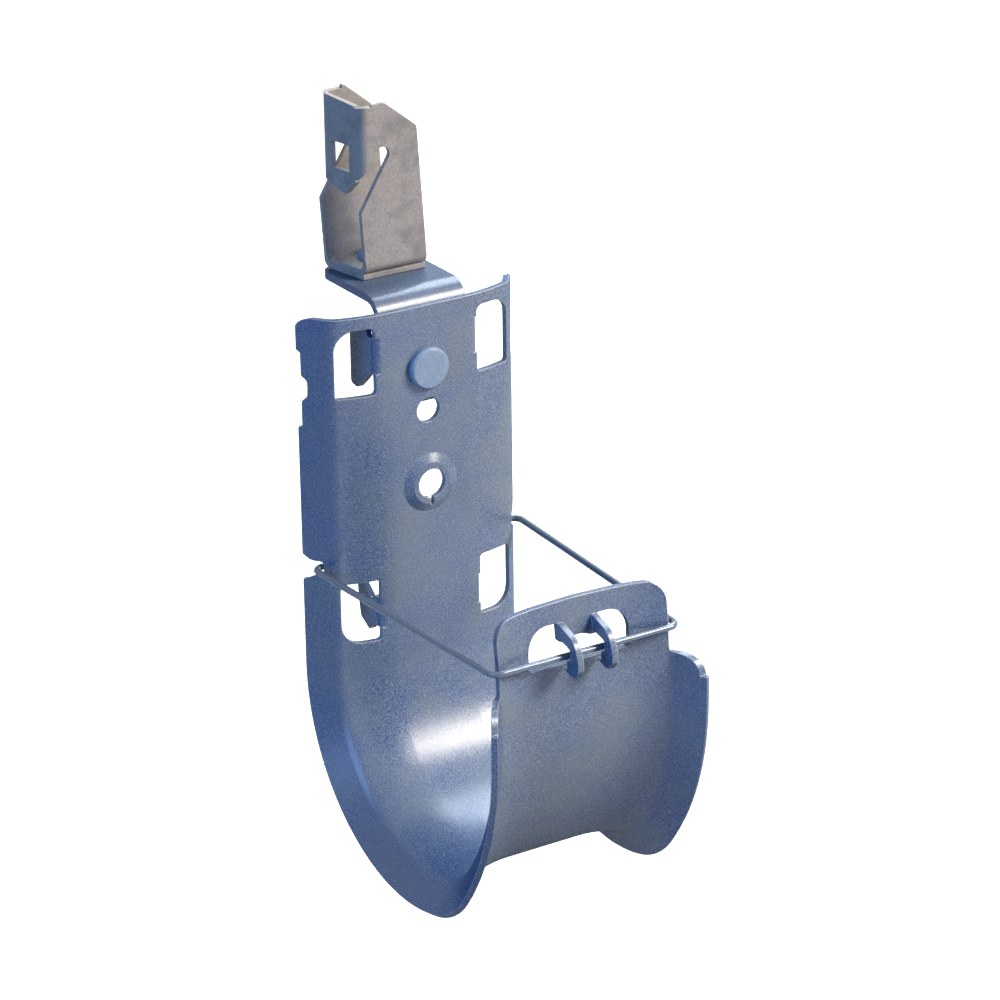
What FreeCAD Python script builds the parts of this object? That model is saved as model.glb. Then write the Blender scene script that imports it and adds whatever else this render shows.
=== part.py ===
import FreeCAD, Part
import Sketcher
import math
import os

# J hook cable support on a hammer-on flange clip.
# Frame: millimetres, +Z up, -Y towards the front lip, +X to the right seen from the front.
# Origin: on the axis of the screw hole in the back plate, halfway along the hole's wall.

Vector = FreeCAD.Vector
doc = FreeCAD.newDocument("j_hook")
sheet = doc.addObject("Spreadsheet::Sheet", "Sizes")

SIZES = [
    # Hook sheet and the J that its cable face follows, seen from the side
    ("sheet_thickness", 1.2),
    ("cable_space_depth", 50.8),
    ("plate_top", 35.7),
    ("back_straight_end", -34.8),
    ("rear_arc_radius", 27.6),
    ("rear_arc_angle", 106.0),
    ("lower_arc_radius", 11.75),
    ("front_arc_radius", 46.3),
    ("lip_lean_start", -24.0),
    ("lip_lean", 3.5),
    ("lip_crease", -13.8),
    ("tongue_lean", 5.0),
    ("lip_top", -5.3),
    ("crease_radius", 12.0),
    # Cross-section of the sheet: flat middle, crowned sides, flared flanges
    ("flat_half_width", 8.0),
    ("crown_radius", 30.0),
    ("crown_half_width", 18.3),
    ("flange_bend_radius", 4.0),
    ("flange_angle", 54.0),
    ("edge_half_width", 23.7),
    # Flange free edges along the back plate
    ("edge_step", 0.9),
    ("upper_step_top", 28.7),
    ("upper_step_end", 24.0),
    ("notch_floor", 5.2),
    ("notch_bottom", 19.7),
    ("lower_step_end", 13.9),
    ("flange_corner_radius", 1.8),
    ("flange_top_radius", 2.6),
    # Slots each side of the ears
    ("slot_inner", 11.1),
    ("slot_outer", 18.95),
    ("upper_slot_bottom", 20.0),
    ("upper_slot_top", 33.3),
    ("lower_slot_bottom", -30.2),
    ("lower_slot_top", -17.7),
    ("slot_large_radius", 4.0),
    ("slot_medium_radius", 1.4),
    ("slot_small_radius", 0.8),
    # Ears bent to the rear
    ("ear_inner", 10.2),
    ("ear_bend_radius", 1.8),
    ("ear_reach", 8.0),
    ("upper_ear_low", 24.0),
    ("upper_ear_high", 31.1),
    ("lower_ear_low", -27.8),
    ("lower_ear_high", -21.7),
    # Holes on the centre line
    ("screw_hole", 5.8),
    ("boss_diameter", 11.8),
    ("boss_height", 0.9),
    ("boss_slope", 1.8),
    ("boss_slit_width", 0.8),
    ("boss_slit_end", 4.4),
    ("small_hole", 5.0),
    ("small_hole_height", 14.7),
    ("rivet_height", 23.3),
    # Front lip
    ("tongue_half_width", 18.4),
    ("tongue_corner_radius", 4.0),
    ("tongue_crown", 0.6),
    ("tongue_trim", 0.4),
    ("shoulder_top", -19.8),
    ("shoulder_radius", 4.0),
    ("shoulder_fillet", 0.9),
    ("window_half_width", 10.9),
    ("window_bottom", -17.3),
    ("window_top", -9.3),
    ("window_top_radius", 4.5),
    ("window_bottom_radius", 0.8),
    ("strap_bottom", -12.6),
    ("claw_outer", 4.3),
    ("claw_reach", 7.0),
    ("claw_top", -9.4),
    ("claw_bottom", -18.2),
    # Wire retainer
    ("wire_diameter", 1.3),
    ("wire_height", -14.5),
    ("wire_pivot", 4.3),
    ("wire_half_width", 23.0),
    ("wire_leg_start", 14.6),
    ("wire_front", 3.35),
    ("wire_corner_radius", 2.0),
    ("wire_leg_radius", 2.0),
    ("wire_clearance", 0.3),
    ("wire_side_gap", 1.1),
    # Angle bracket
    ("bracket_thickness", 1.5),
    ("bracket_gap", 0.06),
    ("bracket_half_width", 9.6),
    ("bracket_foot", 16.1),
    ("bracket_top", 38.1),
    ("bracket_reach", 22.2),
    ("bracket_bend_radius", 4.5),
    ("bracket_corner_radius", 3.0),
    # Rivets
    ("plate_rivet_head", 8.3),
    ("plate_rivet_head_height", 1.3),
    ("plate_rivet_shank", 4.0),
    ("plate_rivet_tail", 6.4),
    ("plate_rivet_tail_height", 1.5),
    ("clip_rivet_head", 8.0),
    ("clip_rivet_head_height", 1.9),
    ("clip_rivet_shank", 4.8),
    ("clip_rivet_tail", 7.4),
    ("clip_rivet_tail_height", 1.4),
    ("clip_rivet_across", 0.5),
    ("clip_rivet_back", 16.4),
    ("rivet_clearance", 0.1),
    ("rivet_edge", 0.4),
    # Flange clip
    ("clip_thickness", 1.0),
    ("clip_front", 10.3),
    ("clip_rear", 22.2),
    ("clip_gap", 0.1),
    ("clip_foot_left", -6.0),
    ("clip_foot_right", 7.4),
    ("clip_bend_radius", 1.9),
    ("clip_fold_offset", 0.5),
    ("clip_lower_width", 3.2),
    ("clip_blank_half_width", 14.0),
    ("clip_side_lean", 3.7),
    ("clip_shoulder_height", 28.6),
    ("clip_crest_height", 34.1),
    ("clip_crest_across", -1.3),
    ("clip_rear_shift", -2.2),
    ("clip_rear_rise", 1.2),
    ("jaw_angle", 58.3),
    ("jaw_width", 3.0),
    ("jaw_mouth_height", 13.4),
    ("jaw_length", 13.2),
    ("bridge_bottom_height", 21.0),
    ("bridge_lip_height", 16.1),
    ("bridge_tip_back", 4.9),
    ("bridge_lip_rise", 2.3),
    ("bridge_window_bottom", 20.7),
    ("bridge_window_top", 25.9),
    ("bridge_window_front", 3.5),
    ("bridge_window_rear", 8.4),
]
for row, (alias, value) in enumerate(SIZES, start=1):
    sheet.set("A%d" % row, alias)
    sheet.set("B%d" % row, str(value))
    sheet.setAlias("B%d" % row, alias)
doc.recompute()


def size(alias):
    return float(sheet.get(alias))


def new_body(name):
    body = doc.addObject("PartDesign::Body", name)
    body.Label = name
    return body


def origin_plane(body, role):
    return [item for item in body.Origin.OriginFeatures if item.Role == role][0]


def new_sketch(body, name, role, lift=0.0):
    """Sketch on one of the body's own origin planes, lifted along its normal by an expression or a length."""
    sketch = body.newObject("Sketcher::SketchObject", name)
    sketch.AttachmentSupport = [(origin_plane(body, role), "")]
    sketch.MapMode = "FlatFace"
    if isinstance(lift, str):
        sketch.setExpression("AttachmentOffset.Base.z", lift)
    else:
        sketch.AttachmentOffset = FreeCAD.Placement(Vector(0, 0, lift), FreeCAD.Rotation())
    return sketch


def add_line(sketch, start, end):
    if (end - start).Length > 1e-6:
        sketch.addGeometry(Part.LineSegment(start, end), False)


def add_arc(sketch, start, middle, end):
    sketch.addGeometry(Part.Arc(start, middle, end), False)


def corner_points(before, corner, after):
    """Where a rounded corner leaves its two sides, and its middle point."""
    here = Vector(corner[0], corner[1], 0)
    if len(corner) < 3 or corner[2] <= 0:
        return here, None, here
    radius = corner[2]
    back = (Vector(before[0], before[1], 0) - here).normalize()
    ahead = (Vector(after[0], after[1], 0) - here).normalize()
    half = back.getAngle(ahead) / 2
    cut = radius / math.tan(half)
    inward = (back + ahead).normalize()
    middle = here + inward * (radius / math.sin(half) - radius)
    return here + back * cut, middle, here + ahead * cut


def draw_outline(sketch, corners, closed=True):
    """Outline whose corners are (u, v) or, when rounded, (u, v, radius)."""
    count = len(corners)
    marks = []
    for i, corner in enumerate(corners):
        if closed or 0 < i < count - 1:
            marks.append(corner_points(corners[i - 1], corner, corners[(i + 1) % count]))
        else:
            marks.append(corner_points(corner, corner[:2], corner))
    for i, (start, middle, end) in enumerate(marks):
        if middle:
            add_arc(sketch, start, middle, end)
        if closed or i < count - 1:
            add_line(sketch, end, marks[(i + 1) % count][0])


def draw_circle(sketch, radius, u, v):
    """Circle with its radius and centre bound to expressions of the sheet."""
    where = Vector(0, 0, 0)
    index = sketch.addGeometry(Part.Circle(where, Vector(0, 0, 1), 1.0), False)
    for kind, place, expression in (("DistanceX", (index, 3), u), ("DistanceY", (index, 3), v)):
        number = sketch.addConstraint(Sketcher.Constraint(kind, -1, 1, place[0], place[1], 1.0))
        sketch.setExpression("Constraints[%d]" % number, expression)
    number = sketch.addConstraint(Sketcher.Constraint("Radius", index, 1.0))
    sketch.setExpression("Constraints[%d]" % number, radius)


def set_length(feature, length):
    """Length from an expression of the sheet, or from sizes already read."""
    if isinstance(length, str):
        feature.setExpression("Length", length)
    else:
        feature.Length = length


def add_pad(body, name, sketch, length):
    pad = body.newObject("PartDesign::Pad", name)
    pad.Profile = sketch
    set_length(pad, length)
    doc.recompute()
    return pad


def add_pocket(body, name, sketch, length):
    """Pocket that runs against its sketch's normal, and must take material away."""
    before = body.Shape.Volume
    pocket = body.newObject("PartDesign::Pocket", name)
    pocket.Profile = sketch
    set_length(pocket, length)
    doc.recompute()
    if not body.Shape.Volume < before:
        raise ValueError(name + " takes nothing away")
    return pocket


def add_turn(body, kind, name, sketch):
    turn = body.newObject(kind, name)
    turn.Profile = sketch
    turn.ReferenceAxis = (sketch, ["V_Axis"])
    turn.Angle = 360.0
    doc.recompute()
    return turn


def add_mirror(body, name, features):
    mirror = body.newObject("PartDesign::Mirrored", name)
    mirror.Originals = features
    mirror.MirrorPlane = (origin_plane(body, "YZ_Plane"), [""])
    body.Tip = mirror
    doc.recompute()
    return mirror




THICKNESS = size("sheet_thickness")
CABLE_FACE = -THICKNESS
LIP_FACE = CABLE_FACE - size("cable_space_depth")
LIP_OUTER = LIP_FACE - THICKNESS
# Lengths that only have to clear the sheet on both sides
MARGIN = 4.0
FAR = 14.0


# Hook body: one sheet swept along the J, then cut and bent

def section_edge(inset):
    """Points of the right half of one face of the section: x against depth."""
    crown = size("crown_radius")
    bend = size("flange_bend_radius")
    flat = size("flat_half_width")
    crown_turn = math.asin((size("crown_half_width") - flat) / crown)
    flange_turn = math.radians(size("flange_angle"))
    bend_x = flat + (crown - bend) * math.sin(crown_turn)
    bend_depth = crown - (crown - bend) * math.cos(crown_turn)

    def on_crown(turn):
        reach = crown - inset
        return flat + reach * math.sin(turn), crown - reach * math.cos(turn)

    def on_bend(turn):
        reach = bend - inset
        return bend_x + reach * math.sin(turn), bend_depth - reach * math.cos(turn)

    edge_start = bend_x + bend * math.sin(flange_turn)
    edge_depth = bend_depth - bend * math.cos(flange_turn)
    edge_depth += (size("edge_half_width") - edge_start) * math.tan(flange_turn)
    edge = (size("edge_half_width") - inset * math.sin(flange_turn), edge_depth + inset * math.cos(flange_turn))
    return [
        (flat, inset),
        on_crown(crown_turn / 2),
        on_crown(crown_turn),
        on_bend((crown_turn + flange_turn) / 2),
        on_bend(flange_turn),
        edge,
    ]


def draw_full_section(sketch, radius):
    """Section with its flanges, its cable face at a distance from the sketch's own x axis."""
    cable = section_edge(0.0)
    rear = section_edge(THICKNESS)

    def place(point, side):
        return Vector(side * point[0], radius + point[1], 0)

    for face in (cable, rear):
        add_line(sketch, place(face[0], -1), place(face[0], 1))
        for side in (-1, 1):
            add_arc(sketch, place(face[0], side), place(face[1], side), place(face[2], side))
            add_arc(sketch, place(face[2], side), place(face[3], side), place(face[4], side))
            add_line(sketch, place(face[4], side), place(face[5], side))
    for side in (-1, 1):
        add_line(sketch, place(cable[5], side), place(rear[5], side))


def draw_tongue_section(sketch, radius):
    """Section of the lip's tongue: flat middle and crowned sides, without flanges."""
    crown = size("crown_radius")
    flat = size("flat_half_width")
    turn = math.asin((size("tongue_half_width") + size("tongue_trim") - flat) / crown)

    def place(inset, part, side):
        reach = crown - inset
        return Vector(side * (flat + reach * math.sin(part)), radius + crown - reach * math.cos(part), 0)

    for inset in (0.0, THICKNESS):
        add_line(sketch, place(inset, 0, -1), place(inset, 0, 1))
        for side in (-1, 1):
            add_arc(sketch, place(inset, 0, side), place(inset, turn / 2, side), place(inset, turn, side))
    for side in (-1, 1):
        add_line(sketch, place(0.0, turn, side), place(THICKNESS, turn, side))


class Station:
    """Moving end of the sheet: each run starts where the last one ended."""

    def __init__(self, body, height):
        self.body = body
        self.y = CABLE_FACE
        self.z = height
        self.turned = 0.0

    def outward(self):
        angle = math.radians(self.turned)
        return math.cos(angle), -math.sin(angle)

    def sketch(self, name, radius):
        out = self.outward()
        sketch = new_sketch(self.body, name + "_section", "XY_Plane")
        sketch.AttachmentOffset = FreeCAD.Placement(
            Vector(0, self.y - out[0] * radius, self.z - out[1] * radius),
            FreeCAD.Rotation(Vector(1, 0, 0), -self.turned))
        return sketch

    def straight(self, name, draw, height, length=None):
        """Run on to a height; a length bound to the sheet is used where the run is upright."""
        out = self.outward()
        run = (height - self.z) / -out[0]
        sketch = self.sketch(name, 0.0)
        draw(sketch, 0.0)
        pad = self.body.newObject("PartDesign::Pad", name)
        pad.Profile = sketch
        pad.Reversed = True
        pad.Length = run
        if length:
            pad.setExpression("Length", length)
        doc.recompute()
        self.y += out[1] * run
        self.z = height

    def turn(self, name, draw, radius, angle, bound=None):
        """Run on round an arc that curls towards the cables."""
        out = self.outward()
        sketch = self.sketch(name, radius)
        draw(sketch, radius)
        arc = self.body.newObject("PartDesign::Revolution", name)
        arc.Profile = sketch
        arc.ReferenceAxis = (sketch, ["H_Axis"])
        arc.Angle = angle
        if bound:
            arc.setExpression("Angle", bound)
        arc.Reversed = True
        doc.recompute()
        centre = (self.y - out[0] * radius, self.z - out[1] * radius)
        self.turned += angle
        out = self.outward()
        self.y = centre[0] + out[0] * radius
        self.z = centre[1] + out[1] * radius


def add_sheet(body):
    """The J: straight back, three arcs, front lip, and the tongue that leans in above it."""
    rear = size("rear_arc_radius")
    rear_angle = size("rear_arc_angle")
    lower = size("lower_arc_radius")
    front = size("front_arc_radius")
    # The second arc ends where the third one can bring the lip to its distance from the plate
    bend_share = rear * (1 - math.cos(math.radians(rear_angle))) + lower * math.cos(math.radians(rear_angle))
    lower_end = math.degrees(math.acos((size("cable_space_depth") - bend_share - front) / (front - lower)))
    full = draw_full_section
    narrow = draw_tongue_section
    end = Station(body, size("plate_top"))
    end.straight("back_plate", full, size("back_straight_end"), "Sizes.plate_top - Sizes.back_straight_end")
    end.turn("rear_arc", full, rear, rear_angle, "Sizes.rear_arc_angle")
    end.turn("lower_arc", full, lower, lower_end - rear_angle)
    end.turn("front_arc", full, front, 180.0 - lower_end)
    end.straight("lip", full, size("lip_lean_start"))
    end.turn("lip_bend", full, size("crease_radius"), size("lip_lean"), "Sizes.lip_lean")
    end.straight("leaning_lip", full, size("shoulder_top") + size("shoulder_fillet"))
    end.straight("tongue_foot", narrow, size("lip_crease"))
    end.turn("tongue_bend", narrow, size("crease_radius"), size("tongue_lean"), "Sizes.tongue_lean")
    end.straight("tongue", narrow, size("lip_top"))


def add_ear(body, name, low, high, profile):
    """Ear folded to the rear at a slot's inner edge, with its bend radius."""
    blade = new_sketch(body, name + "_profile", "YZ_Plane", "Sizes.ear_inner")
    draw_outline(blade, profile)
    pad = add_pad(body, name + "_blade", blade, "Sizes.sheet_thickness")
    outer = size("ear_inner") + THICKNESS
    radius = size("ear_bend_radius")
    bend = new_sketch(body, name + "_bend_line", "XY_Plane")
    bend.setExpression("AttachmentOffset.Base.z", high)
    swing = radius * math.sqrt(0.5)
    start = Vector(outer - radius, CABLE_FACE, 0)
    end = Vector(outer, CABLE_FACE + radius, 0)
    add_arc(bend, start, Vector(outer - radius + swing, CABLE_FACE + radius - swing, 0), end)
    add_line(bend, end, Vector(outer + 0.5, end.y, 0))
    add_line(bend, Vector(outer + 0.5, end.y, 0), Vector(outer + 0.5, CABLE_FACE - 0.5, 0))
    add_line(bend, Vector(outer + 0.5, CABLE_FACE - 0.5, 0), Vector(start.x, CABLE_FACE - 0.5, 0))
    add_line(bend, Vector(start.x, CABLE_FACE - 0.5, 0), start)
    cut = add_pocket(body, name + "_bend", bend, high + " - " + low)
    return [pad, cut]


def make_hook_body():
    body = new_body("hook_body")
    add_sheet(body)

    # Tongue and shoulders of the front lip
    top = size("lip_top")
    tongue = size("tongue_half_width")
    shoulder = size("shoulder_top")
    over = size("edge_half_width") + MARGIN
    lip = new_sketch(body, "lip_outline", "XZ_Plane", "Sizes.cable_space_depth + Sizes.edge_half_width")
    draw_outline(lip, [
        (0, top + MARGIN), (0, top), (tongue, top - size("tongue_crown"), size("tongue_corner_radius")),
        (tongue, shoulder, size("shoulder_fillet")), (over, shoulder), (over, top + MARGIN),
    ])
    lip_cut = add_pocket(body, "lip_sides", lip, "Sizes.edge_half_width * 1.5")

    # Rounded front corner of each shoulder, on the flange's free edge
    corner = new_sketch(body, "shoulder_corner", "YZ_Plane", "Sizes.edge_half_width + 4")
    edge_depth = section_edge(THICKNESS)[5][1] - THICKNESS
    front_edge = LIP_FACE - edge_depth - 0.05
    radius = size("shoulder_radius")
    swing = radius * (1 - math.sqrt(0.5))
    end = Vector(front_edge, shoulder - radius, 0)
    start = Vector(front_edge + radius, shoulder, 0)
    add_arc(corner, start, Vector(front_edge + swing, shoulder - swing, 0), end)
    add_line(corner, end, Vector(front_edge - MARGIN, end.y, 0))
    add_line(corner, Vector(front_edge - MARGIN, end.y, 0), Vector(front_edge - MARGIN, shoulder + MARGIN, 0))
    add_line(corner, Vector(front_edge - MARGIN, shoulder + MARGIN, 0), Vector(start.x, shoulder + MARGIN, 0))
    add_line(corner, Vector(start.x, shoulder + MARGIN, 0), start)
    corner_cut = add_pocket(body, "shoulder_rounding", corner, "Sizes.edge_half_width + 4 - Sizes.tongue_half_width")

    # Upper and lower slots beside the ears
    inner = size("slot_inner")
    outer = size("slot_outer")
    large = size("slot_large_radius")
    medium = size("slot_medium_radius")
    small = size("slot_small_radius")
    slots = new_sketch(body, "slot_outlines", "XZ_Plane", "Sizes.sheet_thickness + 3")
    draw_outline(slots, [
        (inner, size("upper_slot_bottom"), small), (outer, size("upper_slot_bottom"), small),
        (outer, size("upper_slot_top"), large), (inner, size("upper_slot_top"), medium),
    ])
    draw_outline(slots, [
        (inner, size("lower_slot_bottom"), small), (outer, size("lower_slot_bottom"), large),
        (outer, size("lower_slot_top"), medium), (inner, size("lower_slot_top"), small),
    ])
    slot_cut = add_pocket(body, "slots", slots, "Sizes.sheet_thickness + 12")

    # Free edges: stepped above and below a deep notch, and a notch for the wire's leg
    step = CABLE_FACE + edge_depth + THICKNESS * math.cos(math.radians(size("flange_angle"))) - size("edge_step")
    wire_low = size("wire_height") - size("wire_diameter")
    wire_high = size("wire_height") + size("wire_diameter")
    wire_floor = size("wire_pivot") - size("wire_diameter") / 2 - size("wire_clearance")
    rounding = size("flange_corner_radius")
    plate_top = size("plate_top")
    edges = new_sketch(body, "flange_edges", "YZ_Plane", "Sizes.edge_half_width + 4")
    draw_outline(edges, [
        (FAR, size("upper_step_top") + 1.0), (step + 0.6, size("upper_step_top") + 0.6, 0.6),
        (step, size("upper_step_top"), 0.4), (step, size("upper_step_end"), 0.8),
        (size("notch_floor"), size("upper_step_end") - 0.4, 1.4), (size("notch_floor"), size("notch_bottom"), 1.4),
        (step, size("notch_bottom") - 0.3, 0.8), (step, size("lower_step_end"), 0.5),
        (FAR, size("lower_step_end") - 1.0),
    ])
    draw_outline(edges, [
        (FAR, wire_high + 2.2), (step + 0.9, wire_high + 1.4, 0.5), (step - 0.6, wire_high, rounding),
        (wire_floor, wire_high, 0.6), (wire_floor, wire_low, 0.6),
        (step - 1.8, wire_low, rounding), (step + 0.7, wire_low - 1.5, 0.5), (FAR, wire_low - 2.3),
    ])
    top_radius = size("flange_top_radius")
    free_edge = step + size("edge_step") - 0.03
    draw_outline(edges, [
        (free_edge - top_radius - 0.5, plate_top + MARGIN), (free_edge - top_radius - 0.5, plate_top),
        (free_edge, plate_top, top_radius), (free_edge, plate_top - top_radius - 0.5),
        (FAR, plate_top - top_radius - 0.5), (FAR, plate_top + MARGIN),
    ])
    edge_cut = add_pocket(body, "flange_notches", edges, "Sizes.edge_half_width + 4 - Sizes.slot_outer + 3.5")

    # Ears
    reach = size("ear_reach")
    low = size("upper_ear_low")
    high = size("upper_ear_high")
    upper = add_ear(body, "upper_ear", "Sizes.upper_ear_low", "Sizes.upper_ear_high", [
        (CABLE_FACE, low), (0.8, low, 1.0), (reach - 4.7, low - 2.5, 1.2), (reach - 2.4, low - 4.5, 1.2),
        (reach, low - 4.1, 0.8), (reach, high + 0.4, 0.8), (2.0, high + 1.5, 0.4), (1.8, high - 0.2, 0.4),
        (CABLE_FACE, high),
    ])
    low = size("lower_ear_low")
    high = size("lower_ear_high")
    lower = add_ear(body, "lower_ear", "Sizes.lower_ear_low", "Sizes.lower_ear_high", [
        (CABLE_FACE, low), (1.6, low, 0.6), (3.4, low - 1.9, 0.8), (reach - 1.3, low - 0.1, 0.8), (reach - 0.8, low + 2.8),
        (reach - 0.2, high + 2.2, 0.5), (reach - 0.9, high + 2.5, 0.4), (2.6, high - 1.1, 0.4), (1.4, high, 0.5),
        (CABLE_FACE, high),
    ])

    # Claws that hold the wire's front bar
    seat_back = LIP_OUTER - size("wire_front") + THICKNESS
    seat = size("wire_height")
    room = size("wire_diameter") / 2 + size("wire_clearance")
    tip = LIP_OUTER - size("claw_reach") + THICKNESS
    lean_back = size("tongue_lean") + size("lip_lean")
    root = LIP_OUTER + THICKNESS * 0.6 + (size("claw_top") - size("lip_crease")) * math.tan(math.radians(lean_back))
    claw_top = size("claw_top")
    claw_bottom = size("claw_bottom")
    claw = new_sketch(body, "claw_profile", "YZ_Plane", "Sizes.claw_outer - Sizes.sheet_thickness")
    draw_outline(claw, [
        (root, claw_top), (LIP_OUTER + 0.6, claw_top), (tip + 1.6, claw_top - 1.6, 4.0), (tip, claw_top - 5.2, 4.0),
        (tip, claw_bottom + 1.6, 1.5), (tip + 1.2, claw_bottom, 1.0), (tip + 2.6, claw_bottom, 0.8),
        (LIP_OUTER - 0.4, claw_bottom + 0.9, 0.4), (LIP_OUTER - 0.4, claw_bottom + 1.9, 0.4),
        (seat_back + room - 0.4, seat - room, 0.3), (seat_back - room, seat - room, room * 0.9),
        (seat_back - room, seat + room + 0.4, room * 0.9), (root, size("strap_bottom") + 0.5),
    ])
    claw_pad = add_pad(body, "claw", claw, "Sizes.sheet_thickness")
    sides = [lip_cut, corner_cut, slot_cut, edge_cut] + upper + lower + [claw_pad]
    add_mirror(body, "other_side", sides)

    # Window of the lip, which leaves the strap that carries the claws
    window = size("window_half_width")
    window_bottom = size("window_bottom")
    window_top = size("window_top")
    strap = size("claw_outer")
    strap_bottom = size("strap_bottom")
    opening = new_sketch(body, "window_outline", "XZ_Plane", "Sizes.cable_space_depth + Sizes.sheet_thickness * 2 + 2")
    draw_outline(opening, [
        (-window, window_bottom, size("window_bottom_radius")), (window, window_bottom, size("window_bottom_radius")),
        (window, window_top, size("window_top_radius")), (strap, window_top, 0.5),
        (strap, strap_bottom - 0.4, 0.5), (strap - 1.7, strap_bottom - 0.4, 0.8), (0, strap_bottom + 0.5, 4.0),
        (1.7 - strap, strap_bottom - 0.4, 0.8), (-strap, strap_bottom - 0.4, 0.5),
        (-strap, window_top, 0.5), (-window, window_top, size("window_top_radius")),
    ])
    add_pocket(body, "window", opening, "Sizes.sheet_thickness * 3 + 2")

    # Boss of the screw hole: the sheet is dished towards the cable side
    rim = size("boss_diameter") / 2
    height = size("boss_height")
    slope = size("boss_slope")
    boss = new_sketch(body, "boss_profile", "XY_Plane")
    draw_outline(boss, [
        (0, CABLE_FACE + 0.3), (rim, CABLE_FACE + 0.3), (rim, CABLE_FACE), (rim - slope, CABLE_FACE - height, 0.4),
        (0, CABLE_FACE - height),
    ])
    add_turn(body, "PartDesign::Revolution", "boss", boss)
    dish = new_sketch(body, "dish_profile", "XY_Plane")
    inner_rim = rim - THICKNESS * 0.6
    draw_outline(dish, [(0, 0.5), (inner_rim, 0.5), (inner_rim, 0), (inner_rim - slope, -height), (0, -height)])
    add_turn(body, "PartDesign::Groove", "dish", dish)
    holes = new_sketch(body, "hole_circles", "XZ_Plane", "Sizes.sheet_thickness + Sizes.boss_height + 1")
    draw_circle(holes, "Sizes.screw_hole / 2", "0", "0")
    draw_circle(holes, "Sizes.small_hole / 2", "0", "Sizes.small_hole_height")
    draw_circle(holes, "Sizes.plate_rivet_shank / 2 + Sizes.rivet_clearance / 2", "0", "Sizes.rivet_height")
    doc.recompute()
    add_pocket(body, "holes", holes, "Sizes.sheet_thickness + Sizes.boss_height + 2")
    slit = new_sketch(body, "slit_outline", "XZ_Plane", "Sizes.sheet_thickness + Sizes.boss_height + 1")
    half_slit = size("boss_slit_width") / 2
    draw_outline(slit, [
        (-half_slit, 0), (-half_slit, -size("boss_slit_end"), 0.3), (half_slit, -size("boss_slit_end"), 0.3),
        (half_slit, 0),
    ])
    add_pocket(body, "slit", slit, "Sizes.sheet_thickness + Sizes.boss_height + 2")
    return body


# Wire retainer: a sprung U of round wire whose legs turn in behind the flanges

def make_wire_retainer():
    body = new_body("wire_retainer")
    wide = size("wire_half_width")
    front = LIP_FACE - size("wire_front")
    pivot = size("wire_pivot")
    beside = size("tongue_half_width") + size("wire_diameter") / 2 + size("wire_side_gap")
    slant = (wide - beside) / (pivot - LIP_FACE)
    bar_end = wide - slant * (pivot - front)
    start = size("wire_leg_start")
    path = new_sketch(body, "wire_line", "XY_Plane", "Sizes.wire_height")
    draw_outline(path, [
        (start, pivot), (wide, pivot, size("wire_leg_radius")), (bar_end, front, size("wire_corner_radius")),
        (-bar_end, front, size("wire_corner_radius")), (-wide, pivot, size("wire_leg_radius")), (-start, pivot),
    ], closed=False)
    ring = new_sketch(body, "wire_section", "YZ_Plane", "Sizes.wire_leg_start")
    draw_circle(ring, "Sizes.wire_diameter / 2", "Sizes.wire_pivot", "Sizes.wire_height")
    doc.recompute()
    sweep = body.newObject("PartDesign::AdditivePipe", "wire_sweep")
    sweep.Profile = ring
    sweep.Spine = path
    doc.recompute()
    return body


# Angle bracket between the back plate and the flange clip

def make_angle_bracket():
    body = new_body("angle_bracket")
    thick = size("bracket_thickness")
    top = size("bracket_top")
    reach = size("bracket_reach")
    gap = size("bracket_gap")
    side = new_sketch(body, "side_profile", "YZ_Plane", "-Sizes.bracket_half_width")
    draw_outline(side, [
        (gap, size("bracket_foot")), (gap + thick, size("bracket_foot")),
        (gap + thick, top - thick, size("bracket_bend_radius") - thick), (reach, top - thick), (reach, top),
        (gap, top, size("bracket_bend_radius")),
    ])
    strip = add_pad(body, "bent_strip", side, "Sizes.bracket_half_width * 2")
    corners = [
        "Edge%d" % number for number, edge in enumerate(body.Shape.Edges, start=1)
        if abs(edge.CenterOfMass.y - reach) < 0.01 and abs(edge.CenterOfMass.x) > size("bracket_half_width") - 0.01
        and abs(edge.Length - thick) < 0.01
    ]
    rounding = body.newObject("PartDesign::Fillet", "rear_corners")
    rounding.Base = (strip, corners)
    rounding.setExpression("Radius", "Sizes.bracket_corner_radius")
    doc.recompute()
    leg = new_sketch(body, "leg_hole_circle", "XZ_Plane", "1")
    draw_circle(leg, "Sizes.plate_rivet_shank / 2 + Sizes.rivet_clearance / 2", "0", "Sizes.rivet_height")
    doc.recompute()
    add_pocket(body, "leg_hole", leg, "Sizes.bracket_thickness + 2")
    arm = new_sketch(body, "arm_hole_circle", "XY_Plane", "Sizes.bracket_top + 1")
    draw_circle(arm, "Sizes.clip_rivet_shank / 2 + Sizes.rivet_clearance / 2",
                "Sizes.clip_rivet_across", "Sizes.clip_rivet_back")
    doc.recompute()
    add_pocket(body, "arm_hole", arm, "Sizes.bracket_thickness + 2")
    return body


# Rivets

def turned_rivet(name, profile, placement):
    body = new_body(name)
    outline = new_sketch(body, name + "_profile", "XY_Plane")
    draw_outline(outline, profile)
    add_turn(body, "PartDesign::Revolution", name + "_turned", outline)
    body.Placement = placement
    return body


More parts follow.
